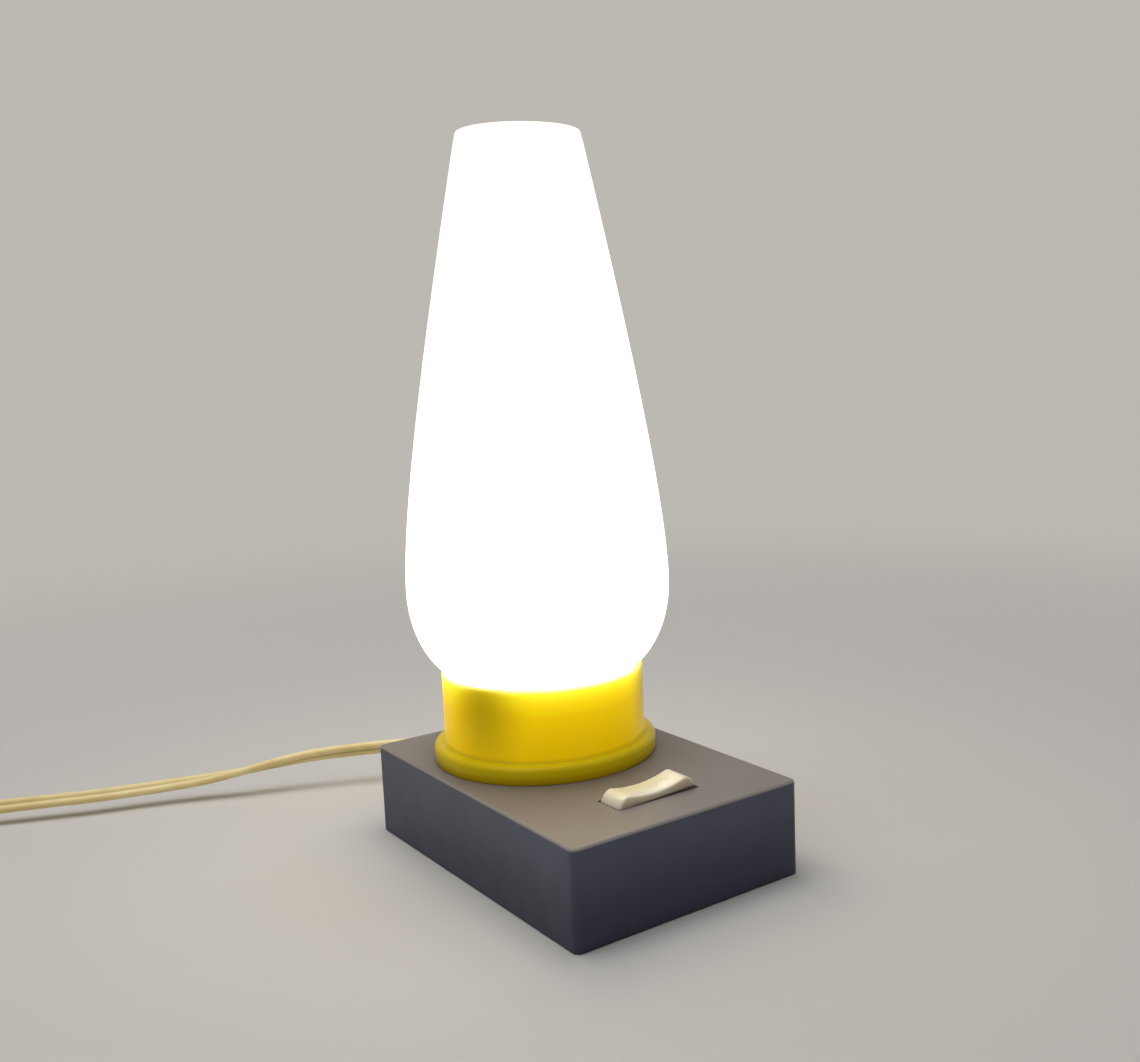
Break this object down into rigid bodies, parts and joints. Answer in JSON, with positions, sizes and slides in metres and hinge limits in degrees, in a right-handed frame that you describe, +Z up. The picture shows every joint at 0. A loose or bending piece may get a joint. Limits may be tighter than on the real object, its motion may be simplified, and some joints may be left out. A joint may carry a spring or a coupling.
{
  "type": "bedside lamp",
  "caption": "Bedside lamp: a moulded box base with a rocker switch, a translucent collar and a tall opal glass shade over a bayonet bulb, with a flat twin cord.",
  "frame": {"origin": "on the table under the middle of the base", "axes": "+Z up along the shade's axis, +X to the right with the rocker switch in front, +Y to the back where the cord leaves"},
  "size_m": [0.3219, 0.2687, 0.2527],
  "materials": {
    "grey_plastic": "moulded, satin",
    "plated_steel": "zinc plated",
    "black_rubber": "matte",
    "yellow_plastic": "moulded, translucent, glossy",
    "opal_glass": "blown opal, glossy",
    "brass": "turned",
    "black_phenolic": "pressed, glossy",
    "white_porcelain": "glazed",
    "bulb_glass": "frosted",
    "cap_metal": "drawn",
    "black_glass": "fused",
    "lead_metal": "drawn wire",
    "tungsten": "wound wire",
    "cream_plastic": "moulded, glossy",
    "white_nylon": "moulded",
    "cord_pvc": "extruded, satin",
    "brown_wire": "extruded",
    "blue_wire": "extruded",
    "black_wire": "extruded",
    "tie_plastic": "moulded",
    "plug_pvc": "moulded, satin",
    "pin_metal": "nickel plated"
  },
  "bodies": {
    "base": {"base_housing": "grey_plastic", "base_plate": "plated_steel", "base_plate_screws": "plated_steel", "rubber_feet": "black_rubber", "collar": "yellow_plastic", "shade_spring_clips": "plated_steel", "threaded_tube": "brass", "lock_washer": "plated_steel", "tube_nut": "brass", "holder_base": "black_phenolic", "holder_insulator": "white_porcelain", "holder_barrel": "brass", "holder_ring": "black_phenolic", "plunger_spring_left": "plated_steel", "plunger_spring_right": "plated_steel", "holder_terminals": "brass", "holder_terminal_screws": "plated_steel", "rocker_pin": "plated_steel", "switch_body": "black_phenolic", "switch_common": "brass", "switch_contact": "brass", "switch_screws": "plated_steel", "cord_strain_relief": "cord_pvc", "cord_clamp": "black_phenolic", "cord_clamp_screws": "plated_steel", "inner_cord": "cord_pvc", "lead_live": "brown_wire", "lead_neutral": "blue_wire", "lead_switched": "black_wire", "cord": "cord_pvc", "cord_coil": "cord_pvc", "cord_plug_end": "cord_pvc", "coil_tie": "tie_plastic", "plug_body": "plug_pvc", "plug_pins": "pin_metal"},
    "shade": {"shade": "opal_glass"},
    "bulb": {"bulb_globe": "bulb_glass", "bulb_cap": "cap_metal", "bulb_insulator": "black_glass", "bulb_contacts": "plated_steel", "bulb_stem": "bulb_glass", "bulb_lead_wires": "lead_metal", "bulb_filament": "tungsten"},
    "rocker": {"rocker": "cream_plastic", "rocker_plunger": "white_nylon", "rocker_spring": "plated_steel"},
    "contact_bar": {"switch_contact_bar": "brass"},
    "plunger_left": {"contact_plunger_left": "brass"},
    "plunger_right": {"contact_plunger_right": "brass"}
  },
  "joints": [
    {"name": "shade_lift", "type": "slide", "parent": "base", "child": "shade", "axis": [0, 0, 1], "range_m": [0, 0.1]},
    {"name": "bulb_twist", "type": "hinge", "parent": "base", "child": "bulb", "pos_m": [0, 0.0195, 0.06], "axis": [0, 0, 1], "range_deg": [0, 18]},
    {"name": "rocker_tilt", "type": "hinge", "parent": "base", "child": "rocker", "pos_m": [0, -0.044, 0.027], "axis": [0, 1, 0], "range_deg": [0, 5]},
    {"name": "contact_bar_tilt", "type": "hinge", "parent": "base", "child": "contact_bar", "pos_m": [0, -0.044, 0.015], "axis": [0, 1, 0], "range_deg": [-12, 0]},
    {"name": "plunger_left_press", "type": "slide", "parent": "base", "child": "plunger_left", "axis": [0, 0, -1], "range_m": [0, 0.0018], "stiffness_N_per_m": 300, "springref_m": -0.003, "deforming": ["plunger_spring_left"]},
    {"name": "plunger_right_press", "type": "slide", "parent": "base", "child": "plunger_right", "axis": [0, 0, -1], "range_m": [0, 0.0018], "stiffness_N_per_m": 300, "springref_m": -0.003, "deforming": ["plunger_spring_right"]}
  ],
  "couplings": [
    {"joint": "contact_bar_tilt", "follows": "rocker_tilt", "ratio": -2.4}
  ]
}
